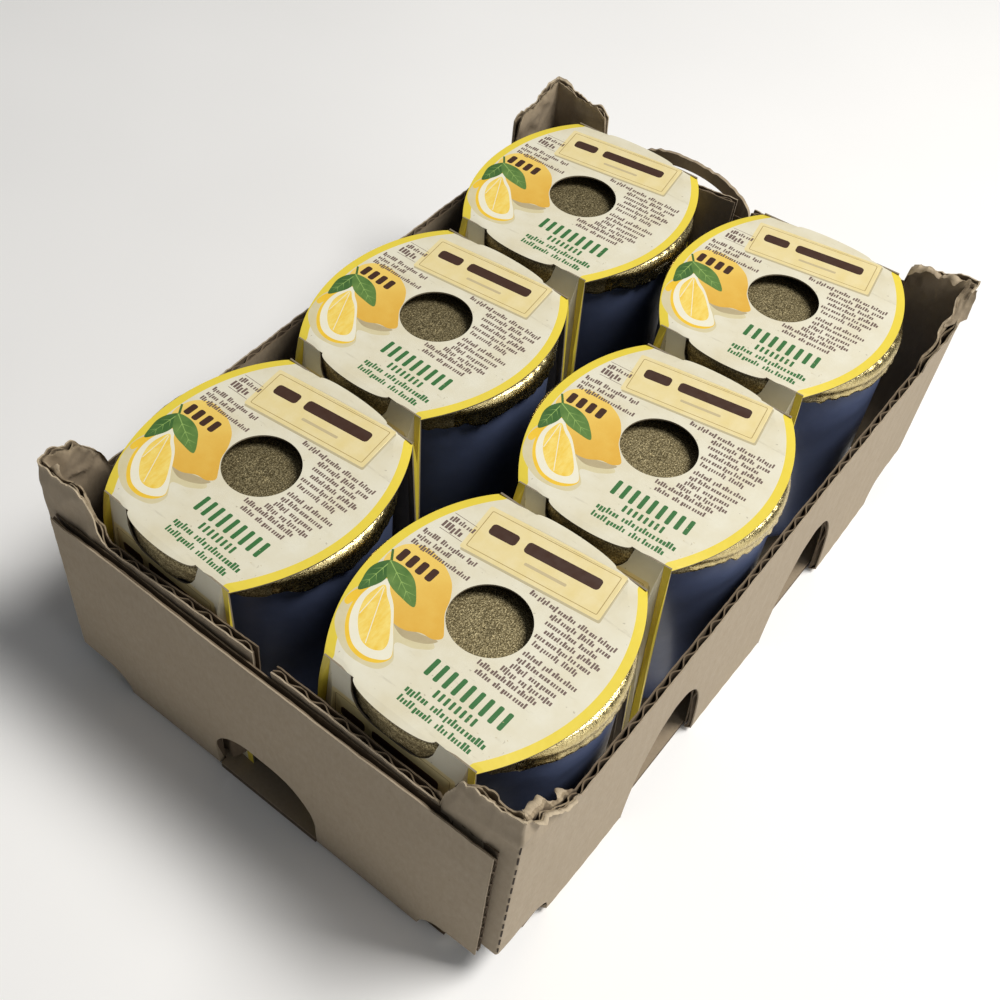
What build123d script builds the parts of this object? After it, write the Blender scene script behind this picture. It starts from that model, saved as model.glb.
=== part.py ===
from build123d import *
import math
import os

# Shelf tray of corrugated board with six glazed pots, each under a foil lid and a carton sleeve.
# Millimetres, +Z up, origin at the centre of the base, X across the tray, Y along it (front = -Y).

# ---- tray board ----
BOARD = 2.2            # crushed single-wall corrugated board
TRAY_W = 143.4         # over the long walls
TRAY_L = 212.3         # over the end flaps
RAIL_RIGHT = 58.0      # torn top edge of the right wall
RAIL_LEFT = 61.0       # torn top edge of the left wall
POST_TOP = 79.5        # torn corner posts left where the hood was pulled off
PANEL_TOP = 62.6       # outer end panels
PANEL_LEFT = -67.5     # the outer end panels stop short of the corners
PANEL_RIGHT = 67.1
FLAP_GAP = (-2.6, 3.4)  # the two flaps of one end nearly meet here

# ---- cut-outs along the bottom edge ----
WALL_ARCH_Y = 35.6     # centres of the long-wall arches, either side of the middle
WALL_ARCH_HALF = 17.4
WALL_ARCH_TOP = 37.0
END_ARCH_HALF = 17.2
END_ARCH_TOP = 24.0
NOTCH_LONG = 20.8      # stacking notch, along a long wall
NOTCH_END = 21.9       # stacking notch, along an end
NOTCH_RISE = 11.6
PANEL_RISE = 9.4
NOTCH_ROUND = 8.0

# ---- torn header with a finger slot on the back panel ----
HEADER_X = -20.0
HEADER_HALF = 22.0
HEADER_TOP = 73.0
HEADER_THICK = 1.3
SLOT_HALF = 15.5
SLOT_TOP = 70.9

# ---- pot, lid and sleeve ----
SLEEVE = 0.45          # carton
POT_BASE = BOARD + SLEEVE + 0.05
POT_R = 32.0
RIM_R = 32.75
RIM_TOP = 73.05
FOIL = 0.28
FOIL_R = 33.19
FOIL_TOP = 73.47
FOIL_SKIRT = 66.2
SLEEVE_TOP = 74.1
FOLD_Y = 30.86         # half depth of the sleeve's top panel
FOLD_X = 21.2          # half width of the sleeve at its top folds
BASE_X = 25.5          # half width of the sleeve at its bottom folds
BELLY_X = 31.5         # half width across the barrel-shaped top panel
SLEEVE_Y = 32.78       # half depth of the sleeve below the lean
LEAN_Z = 63.4          # the front and back panels stand upright below this height
WINDOW_R = 9.84
RIM_SLOT_X = 12.9
RIM_SLOT_DROP = 9.2

POTS = {
    # name: pot x, pot y, sleeve x offset, sleeve turn in degrees
    "front_left": (-34.0, -69.2, 0.2, -2.6),
    "front_right": (35.4, -69.1, -0.2, -1.6),
    "middle_left": (-35.1, -0.3, -0.1, -1.9),
    "middle_right": (35.9, -0.6, 0.0, 2.4),
    "back_left": (-35.2, 69.0, -0.1, 1.1),
    "back_right": (32.2, 69.3, -0.3, 2.5),
}

HALF_W = TRAY_W / 2
HALF_L = TRAY_L / 2

os.makedirs("parts", exist_ok=True)


def save(shape, node):
    export_step(shape, f"parts/{node}.step")


def upright_x(points, x):
    """Board in a Y-Z plane: outline points (y, z), thickness from x towards +X."""
    plane = Plane(origin=(x, 0, 0), x_dir=(0, 1, 0), z_dir=(1, 0, 0))
    return extrude(plane * make_face(Polyline(*points, close=True)), BOARD)


def upright_y(points, y, thick=BOARD):
    """Board in an X-Z plane: outline points (x, z), thickness from y towards +Y."""
    plane = Plane(origin=(0, y + thick, 0), x_dir=(1, 0, 0), z_dir=(0, -1, 0))
    return extrude(plane * make_face(Polyline(*points, close=True)), thick)


def arch(half, top):
    """Flat sketch of a tall arch standing on its base line."""
    return Ellipse(half, top)


def flat_arch(half, top, grow=0.0):
    """Flat sketch of a low arch with round shoulders, base line at zero."""
    body = Rectangle(2 * (half + grow), 2 * (top + grow))
    return fillet(body.vertices(), 14.0)


def notch(length, rise):
    """Flat sketch of the notch at a lower corner, corner at the origin, running to +X."""
    body = Rectangle(2 * length, 2 * rise)
    return fillet(body.vertices(), min(NOTCH_ROUND, rise - 0.5))


def cut_through_x(sketch, y, x):
    plane = Plane(origin=(x - 2 * BOARD, y, 0), x_dir=(0, 1, 0), z_dir=(1, 0, 0))
    return extrude(plane * sketch, 5 * BOARD)


def cut_through_y(sketch, x, y):
    plane = Plane(origin=(x, y + 3 * BOARD, 0), x_dir=(1, 0, 0), z_dir=(0, -1, 0))
    return extrude(plane * sketch, 6 * BOARD)


# ---- floor ----
edge = HALF_W - BOARD
floor = Pos(0, 0, BOARD / 2) * Box(2 * edge, TRAY_L, BOARD)
for side in (-1, 1):
    for y in (-WALL_ARCH_Y, WALL_ARCH_Y):
        floor += Pos(side * (HALF_W - 1.7), y, BOARD / 2) * Box(1.0, 2 * WALL_ARCH_HALF - 1.2, BOARD)
    floor += Pos(0, side * (HALF_L + BOARD / 2), BOARD / 2) * Box(2 * END_ARCH_HALF - 1.2, BOARD, BOARD)
for sx in (-1, 1):
    for sy in (-1, 1):
        floor -= Pos(sx * HALF_W, sy * HALF_L, 0) * Box(12.0, 2 * 14.0, 3 * BOARD)
        floor -= Pos(sx * HALF_W, sy * HALF_L, 0) * Box(2 * 15.0, 12.0, 3 * BOARD)
save(floor, "tray_floor")

# ---- long walls, each with two arches, two notches and its share of the corner posts ----
WALLS = {
    # name: x of the inner or outer face the board starts from, rail height, torn outline (y, z)
    "wall_right": (HALF_W - BOARD, [
        (-HALF_L, POST_TOP), (-101.5, 79.0), (-96.8, 78.0), (-93.6, 76.6), (-90.8, 74.4), (-87.6, 69.0),
        (-84.6, 64.0), (-83.4, RAIL_RIGHT), (86.6, RAIL_RIGHT), (86.8, 67.5), (88.4, 74.0),
        (91.2, 78.0), (96.0, 79.2), (101.0, 78.4), (HALF_L, POST_TOP)]),
    "wall_left": (-HALF_W, [
        (-HALF_L, 78.6), (-100.2, POST_TOP), (-97.6, 77.4), (-93.2, 74.6), (-88.4, 67.0), (-86.4, RAIL_LEFT),
        (84.0, RAIL_LEFT), (84.6, 75.0), (90.0, 77.2), (97.0, 78.0), (104.0, POST_TOP), (HALF_L, 79.0)]),
}
for node, (x, torn) in WALLS.items():
    outline = [(HALF_L, 0), (-HALF_L, 0)] + torn
    wall = upright_x(outline, x)
    for y in (-WALL_ARCH_Y, WALL_ARCH_Y):
        wall -= cut_through_x(arch(WALL_ARCH_HALF, WALL_ARCH_TOP), y, x)
    for y in (-HALF_L, HALF_L):
        wall -= cut_through_x(notch(NOTCH_LONG, NOTCH_RISE), y, x)
    save(wall, node)

# ---- end flaps: folded round from the long walls, standing on the floor ----
inner = HALF_W - BOARD
FLAPS = {
    # name: y the board starts from, free end x, wall side x, torn outline from free end to wall (x, z)
    "flap_front_left": (-HALF_L, FLAP_GAP[0], -inner, [
        (FLAP_GAP[0], 66.0), (-24.0, 65.2), (-51.6, 63.6), (-51.8, 67.0), (-53.6, 73.4), (-55.6, 78.6),
        (-60.0, POST_TOP), (-63.6, 78.2), (-inner, 77.8)]),
    "flap_front_right": (-HALF_L, FLAP_GAP[1], inner, [
        (FLAP_GAP[1], 65.0), (25.0, 64.2), (51.8, 63.2), (52.0, 70.6), (55.2, 76.0), (58.2, 78.2),
        (64.0, POST_TOP), (inner, 78.6)]),
    "flap_back_left": (HALF_L - BOARD, FLAP_GAP[0], -inner, [
        (FLAP_GAP[0], 71.6), (-10.0, 70.8), (-18.0, 70.0), (-50.8, 70.0), (-51.0, 77.6), (-58.0, 78.8),
        (-64.0, POST_TOP), (-inner, 79.0)]),
    "flap_back_right": (HALF_L - BOARD, FLAP_GAP[1], inner, [
        (FLAP_GAP[1], 68.0), (30.0, 68.6), (53.4, 69.0), (53.6, 77.4), (60.0, 78.2), (66.0, POST_TOP),
        (inner, 79.2)]),
}
for node, (y, free, wall_x, torn) in FLAPS.items():
    outline = torn + [(wall_x, BOARD), (free, BOARD)]
    flap = upright_y(outline, y)
    flap -= cut_through_y(flat_arch(END_ARCH_HALF, END_ARCH_TOP, grow=0.8), 0, y)
    flap -= cut_through_y(notch(NOTCH_END, NOTCH_RISE), math.copysign(HALF_W, wall_x), y)
    save(flap, node)

# ---- outer end panels, folded up from the floor and glued over the flaps ----
for node, y in (("panel_front", -HALF_L - BOARD), ("panel_back", HALF_L)):
    outline = [(PANEL_LEFT, 0), (PANEL_RIGHT, 0), (PANEL_RIGHT, PANEL_TOP - 0.4), (0, PANEL_TOP),
               (PANEL_LEFT, PANEL_TOP + 0.6)]
    panel = upright_y(outline, y)
    panel -= cut_through_y(flat_arch(END_ARCH_HALF, END_ARCH_TOP), 0, y)
    for sx in (-1, 1):
        panel -= cut_through_y(notch(NOTCH_END, PANEL_RISE), sx * HALF_W, y)
    if node == "panel_back":
        plane = Plane(origin=(HEADER_X, y + 0.9 + HEADER_THICK, PANEL_TOP - 1.0),
                      x_dir=(1, 0, 0), z_dir=(0, -1, 0))
        head = Ellipse(HEADER_HALF, HEADER_TOP - PANEL_TOP + 1.0)
        head -= Ellipse(SLOT_HALF, SLOT_TOP - PANEL_TOP + 1.0)
        head &= Pos(0, 20) * Rectangle(60, 40)
        panel += extrude(plane * head, HEADER_THICK)
    save(panel, node)


def pot_body():
    profile = [(0, POT_BASE), (27.5, POT_BASE), (29.6, POT_BASE + 1.0), (31.2, POT_BASE + 3.6),
               (POT_R, POT_BASE + 8.0), (POT_R, 58.0), (31.7, 62.0), (31.3, 65.5), (31.5, 67.4),
               (RIM_R - 0.3, 69.0), (RIM_R, 70.6), (RIM_R - 0.3, 72.0), (31.4, RIM_TOP),
               (30.4, RIM_TOP), (29.75, 72.5), (29.1, 71.2), (28.7, 70.0), (27.6, 66.0),
               (27.4, POT_BASE + 8.5), (25.4, POT_BASE + 5.6), (0, POT_BASE + 4.6)]
    return revolve(Plane.XZ * make_face(Polyline(*profile, close=True)), Axis.Z)


def pot_fill():
    profile = [(0, POT_BASE + 4.7), (25.35, POT_BASE + 5.7), (27.3, POT_BASE + 8.55), (27.45, 66.0),
               (0, 66.0)]
    return revolve(Plane.XZ * make_face(Polyline(*profile, close=True)), Axis.Z)


def foil_lid():
    """Foil of even thickness: sunken middle, over the rim, crimped skirt outside."""
    path = [(0, 70.1), (27.3, 70.15), (28.3, 70.9), (29.3, 72.7), (30.3, FOIL_TOP - 0.17),
            (31.4, FOIL_TOP - 0.14), (32.4, 72.75), (FOIL_R - 0.14, 71.5), (FOIL_R - 0.14, 69.6),
            (32.85, 67.6), (32.8, FOIL_SKIRT)]
    over, under = [], []
    for k, (r, z) in enumerate(path):
        r0, z0 = path[max(k - 1, 0)]
        r1, z1 = path[min(k + 1, len(path) - 1)]
        run = math.hypot(r1 - r0, z1 - z0)
        nr, nz = -(z1 - z0) / run * FOIL / 2, (r1 - r0) / run * FOIL / 2
        over.append((max(r + nr, 0), z + nz))
        under.append((max(r - nr, 0), z - nz))
    over[0], under[0] = (0, 70.1 + FOIL / 2), (0, 70.1 - FOIL / 2)
    return revolve(Plane.XZ * make_face(Polyline(*over, *reversed(under), close=True)), Axis.Z)


def panel_plane(side, top_y, top_z, low_y, low_z):
    """Plane of an upright sleeve panel: local X across, local Y up the panel, Z outward."""
    up = Vector(0, side * (top_y - low_y), top_z - low_z).normalized()
    across = Vector(-side, 0, 0)
    return Plane(origin=(0, side * top_y, top_z), x_dir=across, z_dir=across.cross(up))


def sleeve():
    radius = (FOLD_Y ** 2 + (BELLY_X - FOLD_X) ** 2) / (2 * (BELLY_X - FOLD_X))
    arc = math.asin(FOLD_Y / radius)
    side_pts = [(BELLY_X - radius + radius * math.cos(a), radius * math.sin(a))
                for a in [arc * k / 6 for k in range(-6, 7)]]
    outline = side_pts + [(-x, y) for x, y in reversed(side_pts)]
    tongue = [Pos(0, s * FOLD_Y) * Ellipse(RIM_SLOT_X - 0.9, 1.4) for s in (-1, 1)]
    top = make_face(Polyline(*outline, close=True)) + tongue[0] + tongue[1] - Circle(WINDOW_R)
    shape = extrude(Plane.XY.offset(SLEEVE_TOP - SLEEVE) * top, SLEEVE)
    grow = (BASE_X - FOLD_X) / (SLEEVE_TOP - BOARD)
    knee_x = FOLD_X + grow * (SLEEVE_TOP - LEAN_Z)
    for side in (-1, 1):
        lean = panel_plane(side, FOLD_Y, SLEEVE_TOP - 0.1, SLEEVE_Y, LEAN_Z)
        run = math.hypot(SLEEVE_Y - FOLD_Y, SLEEVE_TOP - 0.1 - LEAN_Z)
        strip = make_face(Polyline((-FOLD_X, 0), (FOLD_X, 0), (knee_x, -run), (-knee_x, -run), close=True))
        opening = [(RIM_SLOT_X * k / 12, -RIM_SLOT_DROP * (1 - abs(k / 12) ** 4) ** 0.5)
                   for k in range(-12, 13)]
        opening = [(-RIM_SLOT_X, 2)] + opening + [(RIM_SLOT_X, 2)]
        strip -= make_face(Polyline(*opening, close=True))
        shape += extrude(lean * strip, -SLEEVE)
        low = Plane(origin=(0, side * SLEEVE_Y, 0), x_dir=(-side, 0, 0), z_dir=(0, side, 0))
        upright = Polyline((-knee_x, LEAN_Z + 0.05), (knee_x, LEAN_Z + 0.05), (BASE_X, BOARD),
                           (-BASE_X, BOARD), close=True)
        shape += extrude(low * make_face(upright), -SLEEVE)
    base = Rectangle(2 * BASE_X, 2 * SLEEVE_Y)
    shape += extrude(Plane.XY.offset(BOARD) * base, SLEEVE)
    return shape


body, fill, lid, wrap = pot_body(), pot_fill(), foil_lid(), sleeve()
for name, (x, y, shift, turn) in POTS.items():
    place = Pos(x, y, 0)
    save(place * body, f"pot_{name}")
    save(place * fill, f"yogurt_{name}")
    save(place * lid, f"foil_lid_{name}")
    save(Pos(x + shift, y, 0) * Rot(0, 0, turn) * wrap, f"sleeve_{name}")
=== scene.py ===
from math import asin, copysign, cos, hypot, pi, radians, sin, sqrt
import bpy
import numpy as np
from mathutils import Matrix, Vector
from mathutils.geometry import delaunay_2d_cdt


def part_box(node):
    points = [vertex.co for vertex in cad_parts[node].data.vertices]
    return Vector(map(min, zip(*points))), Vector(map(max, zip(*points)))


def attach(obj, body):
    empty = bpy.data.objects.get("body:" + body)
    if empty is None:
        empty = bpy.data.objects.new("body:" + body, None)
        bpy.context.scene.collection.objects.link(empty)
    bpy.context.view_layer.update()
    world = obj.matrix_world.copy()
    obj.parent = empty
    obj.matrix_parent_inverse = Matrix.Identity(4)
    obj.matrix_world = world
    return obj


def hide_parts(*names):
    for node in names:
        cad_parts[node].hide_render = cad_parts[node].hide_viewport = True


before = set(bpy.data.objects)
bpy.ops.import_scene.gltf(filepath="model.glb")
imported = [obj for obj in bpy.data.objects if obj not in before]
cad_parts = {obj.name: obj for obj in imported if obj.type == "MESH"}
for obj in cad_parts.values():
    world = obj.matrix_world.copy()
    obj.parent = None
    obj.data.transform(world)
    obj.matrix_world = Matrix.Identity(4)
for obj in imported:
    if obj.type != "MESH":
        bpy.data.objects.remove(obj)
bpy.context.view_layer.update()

# Torn-open shelf tray of corrugated board with six glazed pots under foil lids and printed sleeves.
# Shapes are worked out in millimetres and scaled to metres when a mesh is made.
MM = 0.001
scene = bpy.context.scene
SPOTS = {
    # name: sleeve turn in degrees, sleeve x offset from the pot
    "front_left": (-2.6, 0.2), "front_right": (-1.6, -0.2), "middle_left": (-1.9, -0.1),
    "middle_right": (2.4, 0.0), "back_left": (1.1, -0.1), "back_right": (2.5, -0.3),
}


def millimetres(node):
    low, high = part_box(node)
    return np.array(low) / MM, np.array(high) / MM


# ---- numbers and fields

FIELD = 97  # a random field repeats after this many cells
FIELD_X, FIELD_Y = 48.3, 48.7  # where the origin falls in it


def noise(seed, u, v, cell):
    """Smooth random field between -1 and 1, with bumps about one cell across."""
    table = np.random.default_rng(seed).uniform(-1, 1, (FIELD, FIELD))
    x, y = np.broadcast_arrays(np.asarray(u, float) / cell + FIELD_X, np.asarray(v, float) / cell + FIELD_Y)
    i, j = np.floor(x).astype(int), np.floor(y).astype(int)
    fx, fy = ease(x - i), ease(y - j)
    i, j, k, m = i % FIELD, j % FIELD, (i + 1) % FIELD, (j + 1) % FIELD
    return ((table[i, j] * (1 - fx) + table[k, j] * fx) * (1 - fy)
            + (table[i, m] * (1 - fx) + table[k, m] * fx) * fy)


def ridges(seed, u, v, cell, depth=2.4):
    """Random creases: 1 along thin lines, and less between them."""
    return 1 - depth * np.abs(noise(seed, u, v, cell))


def ease(x):
    """Smooth step from 0 to 1."""
    x = np.clip(x, 0, 1)
    return x * x * (3 - 2 * x)


def outline(points):
    """Function that follows a polyline of (along, height) points."""
    u, z = np.array(sorted(points)).T
    return lambda at: np.interp(at, u, z)


# ---- materials

def srgb(r, g, b):
    """Linear colour of 0 to 255 screen values."""
    return tuple(((c / 255 + 0.055) / 1.055) ** 2.4 if c > 10 else c / 255 / 12.92 for c in (r, g, b)) + (1,)


MIX_A, MIX_B, MIX_RESULT = 6, 7, 2  # sockets of a mix node that carry colour


def darker(colour, share):
    return tuple(c * share for c in colour[:3]) + (1,)


class Look:
    """A procedural material, built node by node over a base colour."""

    def __init__(self, name, base, **sockets):
        self.material = bpy.data.materials.new(name)
        self.material.use_nodes = True
        self.tree = self.material.node_tree
        self.shader = self.tree.nodes["Principled BSDF"]
        self.coords = self.add("ShaderNodeTexCoord").outputs["Object"]
        self.base, self.normal = base, None  # colour and bumped normal so far
        for key, value in sockets.items():
            self.shader.inputs[key.replace("_", " ")].default_value = value

    def put(self, value, socket):
        """Links a node's output to a socket, or sets the socket to a plain value."""
        if isinstance(value, bpy.types.NodeSocket):
            self.tree.links.new(value, socket)
        else:
            socket.default_value = value

    def add(self, kind, inputs=None, **settings):
        node = self.tree.nodes.new(kind)
        for key, value in settings.items():
            setattr(node, key, value)
        for key, value in (inputs or {}).items():
            self.put(value, node.inputs[key])
        return node

    def stretched(self, x, y, z):
        """Coordinates scaled along each axis."""
        return self.add("ShaderNodeMapping", {"Scale": (x, y, z), "Vector": self.coords}).outputs["Vector"]

    def grain(self, scale, detail, rough, low=0.3, high=0.7, vector=None):
        """Noise between 0 and 1, with its contrast set by low and high."""
        noise_node = self.add("ShaderNodeTexNoise", {"Scale": scale, "Detail": detail, "Roughness": rough,
                                                     "Vector": vector or self.coords})
        return self.ramp(noise_node.outputs["Fac"], low, high)

    def cells(self, scale, low, high):
        """Distance to the middle of the nearest random cell, from low to high."""
        cell_node = self.add("ShaderNodeTexVoronoi", {"Scale": scale, "Vector": self.coords})
        return self.ramp(cell_node.outputs["Distance"], low, high)

    def ramp(self, value, low, high, start=0.0, end=1.0):
        """Takes the range low to high to the range start to end."""
        return self.add("ShaderNodeMapRange", {"Value": value, "From Min": low, "From Max": high,
                                               "To Min": start, "To Max": end}, clamp=True).outputs["Result"]

    def stored(self, name):
        return self.add("ShaderNodeAttribute", attribute_name=name).outputs["Fac"]

    def times(self, a, b):
        return self.add("ShaderNodeMath", {0: a, 1: b}, operation="MULTIPLY").outputs["Value"]

    def paint(self, mask, colour, amount=None):
        """Covers the colour so far where the mask is 1, by the amount."""
        mask = mask if amount is None else self.times(mask, amount)
        node = self.add("ShaderNodeMix", {0: mask, MIX_A: self.base, MIX_B: colour}, data_type="RGBA")
        self.base = node.outputs[MIX_RESULT]
        self.put(self.base, self.shader.inputs["Base Color"])

    def roughness(self, amount, low, high):
        self.put(self.ramp(amount, 0.0, 1.0, low, high), self.shader.inputs["Roughness"])

    def bump(self, height, distance, strength):
        node = self.add("ShaderNodeBump", {"Distance": distance, "Strength": strength, "Height": height})
        if self.normal:
            self.put(self.normal, node.inputs["Normal"])
        self.normal = node.outputs["Normal"]
        self.put(self.normal, self.shader.inputs["Normal"])


def kraft(name, *colours):
    """Board of face, shade and torn colours: upright fibres, dark flecks, stains, and paler where torn."""
    face, shade, torn = (srgb(*c) for c in colours)
    look = Look("board_" + name, shade, Roughness=0.9)
    along = look.stretched(1.0, 1.0, 0.45)
    look.paint(look.grain(900, 5, 0.7, 0.2, 0.7, along), face)
    look.paint(look.grain(38, 3, 0.6, 0.35, 0.75), shade, 0.35)
    look.paint(look.grain(1300, 2, 0.5, 0.70, 0.78), darker(shade, 0.5), 0.3)
    look.paint(look.times(look.stored("torn"), look.grain(700, 3, 0.6, 0.25, 0.6)), torn)
    look.roughness(look.grain(300, 2, 0.5), 0.82, 0.96)
    look.bump(look.grain(1400, 4, 0.65, 0.2, 0.8, along), 0.00006, 0.6)
    look.bump(look.grain(120, 2, 0.5, 0.2, 0.8), 0.0002, 0.35)
    return look.material


def coated(name, base, rough=0.42):
    """Carton with a clear coat and a soft sheen."""
    return Look("carton_" + name, base, Roughness=rough, Coat_Weight=0.12, Coat_Roughness=0.35)


def ink(name, first, second=None, amount=0.25, rough=0.42):
    """Flat print, a little uneven between its first and its second colour."""
    first = srgb(*first)
    look = coated(name, first, rough)
    look.paint(look.grain(260, 4, 0.6, 0.3, 0.75), srgb(*second) if second else darker(first, 0.86), amount)
    look.roughness(look.grain(500, 2, 0.5), rough - 0.05, rough + 0.08)
    look.bump(look.grain(900, 3, 0.6, 0.2, 0.8), 0.00003, 0.4)
    return look.material


def cream_print():
    """Cream background printed like limewashed wood: faint grain lines, flecks and warmer clouds."""
    look = coated("cream", srgb(226, 221, 200), 0.45)
    fleck = srgb(146, 136, 116)
    look.paint(look.grain(60, 4, 0.6, 0.35, 0.75), srgb(214, 204, 172))
    look.paint(look.grain(420, 4, 0.7, 0.62, 0.8, look.stretched(0.22, 1.0, 1.0)), fleck, 0.38)
    look.paint(look.grain(900, 2, 0.5, 0.71, 0.76), fleck, 0.5)
    look.roughness(look.grain(500, 2, 0.5), 0.40, 0.52)
    look.bump(look.grain(900, 3, 0.6, 0.2, 0.8), 0.00003, 0.4)
    return look.material


def lemon_print():
    """Fruit skin: a soft gradient across it, pores and warm clouds."""
    light, deep = srgb(242, 212, 112), srgb(218, 164, 52)
    look = coated("lemon", light)
    slope = look.add("ShaderNodeVectorMath", {0: look.coords, 1: (32.0, -24.0, 0.0)}, operation="DOT_PRODUCT")
    look.paint(look.ramp(slope.outputs["Value"], -0.97, 0.03), deep)
    look.paint(look.grain(130, 3, 0.6, 0.4, 0.8), light, 0.35)
    look.paint(look.cells(1300, 0.0, 0.35), deep, 0.14)
    return look.material


def flesh_print():
    """Cut fruit: juice sacs as fine streaks from the wedge's point."""
    look = coated("flesh", srgb(236, 196, 70), 0.4)
    look.paint(look.grain(500, 4, 0.7, 0.35, 0.7, look.stretched(1.0, 0.3, 1.0)), srgb(246, 224, 130))
    return look.material


def foil_look(name, light, deep, smooth, rough, glitter):
    """Gold lacquered foil with a fine sparkle of the given scale and small dents."""
    look = Look("gold_foil_" + name, deep, Metallic=1.0, Roughness=0.3)
    look.paint(look.grain(glitter, 2, 0.6, 0.42, 0.72), light)
    look.roughness(look.grain(1500, 2, 0.5), smooth, rough)
    look.bump(look.cells(3200, 0.0, 0.8), 0.00012, 0.4)
    look.bump(look.grain(700, 2, 0.6, 0.2, 0.8), 0.00014, 0.35)
    return look.material


def glaze_look():
    """Dark blue glaze: slightly pooled colour, pinholes, and a clear gloss; bare clay under the foot."""
    look = Look("blue_glaze", srgb(84, 95, 126), Roughness=0.4, Coat_Weight=0.2, Coat_Roughness=0.22)
    look.paint(look.grain(55, 4, 0.6, 0.3, 0.75), srgb(70, 79, 106))
    look.paint(look.grain(1100, 2, 0.5, 0.68, 0.76), srgb(98, 109, 140), 0.35)
    look.paint(look.stored("foot"), srgb(178, 150, 120))
    look.roughness(look.grain(160, 3, 0.6), 0.34, 0.46)
    look.bump(look.grain(140, 3, 0.5, 0.2, 0.8), 0.00025, 0.35)
    return look.material


def filling_look():
    """Set yogurt, matt and a little translucent."""
    look = Look("set_filling", srgb(246, 240, 226), Roughness=0.35, Subsurface_Weight=0.15,
                Subsurface_Scale=0.003)
    look.paint(look.grain(120, 3, 0.6), srgb(238, 228, 206))
    look.bump(look.grain(240, 3, 0.6), 0.0003, 0.4)
    return look.material


BOARD_LOOKS = [
    kraft("outer_liner", (168, 153, 131), (154, 139, 117), (186, 170, 143)),
    kraft("inner_liner", (156, 140, 117), (140, 124, 102), (178, 161, 134)),
    # Darker kraft for the fluted ply and for the liners' faces inside the flute cells: partly the medium's
    # own darker paper, partly painted shade in the cells.
    kraft("flutes", (112, 96, 75), (88, 73, 56), (160, 143, 116)),
    # Painted shade: the darkest board colour, used for the shadow inside the perforation cuts.
    kraft("cut", (62, 51, 40), (50, 40, 31), (90, 76, 60)),
]
OUTER, INNER, FLUTES, PAINTED_CUT_SHADE = range(4)
PRINT = {
    "cream": cream_print(),
    "yellow": ink("yellow", (230, 208, 72), (224, 196, 58)),
    "plate": ink("plate", (226, 207, 146), (232, 218, 172), 0.7),
    "plate_line": ink("plate_line", (170, 146, 92)),
    "plate_shadow": ink("plate_shadow", (188, 176, 140)),
    "brown": ink("brown", (66, 42, 30)),
    "tan": ink("tan", (196, 180, 140)),
    "text": ink("text", (112, 92, 84)),
    "green": ink("green", (58, 112, 60)),
    "leaf": ink("leaf", (110, 142, 72), (74, 112, 50), 0.9),
    "leaf_dark": ink("leaf_dark", (78, 116, 56), (54, 92, 42), 0.9),
    "vein": ink("vein", (150, 182, 98)),
    "lemon": lemon_print(),
    "rind": ink("rind", (240, 200, 62), (230, 182, 44), 0.6),
    "pith": ink("pith", (236, 231, 208)),
    "flesh": flesh_print(),
    "shade": ink("shade", (216, 206, 168), (206, 192, 146), 0.7),
    "shade_deep": ink("shade_deep", (176, 160, 122), (190, 176, 140), 0.8),
    "raw": ink("raw", (138, 126, 106), (118, 106, 88), 0.6, 0.8),   # last: the inside and the cut edges
}
RIM_LOOK = foil_look("rim", srgb(222, 206, 150), srgb(186, 168, 118), 0.18, 0.36, 1500)
# Darker copy of the rim foil, also rougher and finer grained: its darker colour is painted shade on the
# middle seen through the window and on the rim held under the sleeve's panels.
SHADED_FOIL_LOOK = foil_look("middle", srgb(208, 194, 152), srgb(112, 100, 70), 0.48, 0.66, 2600)
GLAZE_LOOK, FILLING_LOOK = glaze_look(), filling_look()


# ---- mesh building

class Shell:
    """Gathers the closed sheets of one piece."""

    def __init__(self):
        self.points, self.faces, self.looks, self.torn = [], [], [], []
        self.count = 0

    def slab(self, front, back, look, torn=0.0, back_look=None):
        """Closed solid between two grids of points, each across by up by xyz."""
        nu, nv = front.shape[:2]
        f = self.count + np.arange(nu * nv).reshape(nu, nv)
        b = f + nu * nv
        ring_f = np.concatenate([f[:, 0], f[-1, 1:], f[-2::-1, -1], f[0, -2:0:-1]])
        ring_b = ring_f + nu * nv
        quads = np.concatenate([
            np.stack([f[:-1, :-1], f[1:, :-1], f[1:, 1:], f[:-1, 1:]], -1).reshape(-1, 4),
            np.stack([b[:-1, :-1], b[:-1, 1:], b[1:, 1:], b[1:, :-1]], -1).reshape(-1, 4),
            np.stack([ring_f, ring_b, np.roll(ring_b, -1), np.roll(ring_f, -1)], -1),
        ])
        points = np.concatenate([front.reshape(-1, 3), back.reshape(-1, 3)])
        corner = points[quads - self.count]
        volume = sum((corner[:, 0] * np.cross(corner[:, k], corner[:, k + 1])).sum() for k in (1, 2))
        if volume < 0:
            quads = quads[:, ::-1]
        self.points.append(points)
        self.faces.append(quads)
        side = (nu - 1) * (nv - 1)
        looks = np.full(len(quads), look)
        looks[side:2 * side] = look if back_look is None else back_look
        self.looks.append(looks)
        self.torn.append(np.tile(np.broadcast_to(torn, (nu, nv)).ravel(), 2))
        self.count += len(points)

    def tray_piece(self, name, looks, *nodes):
        """Makes the piece and stands it in for the tray's nodes."""
        points, faces, index, torn = map(np.concatenate, (self.points, self.faces, self.looks, self.torn))
        piece = add_object(name, make_mesh(name, points, faces, index, looks, 40, torn=torn))
        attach(piece, "tray")
        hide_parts(*nodes)


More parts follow.
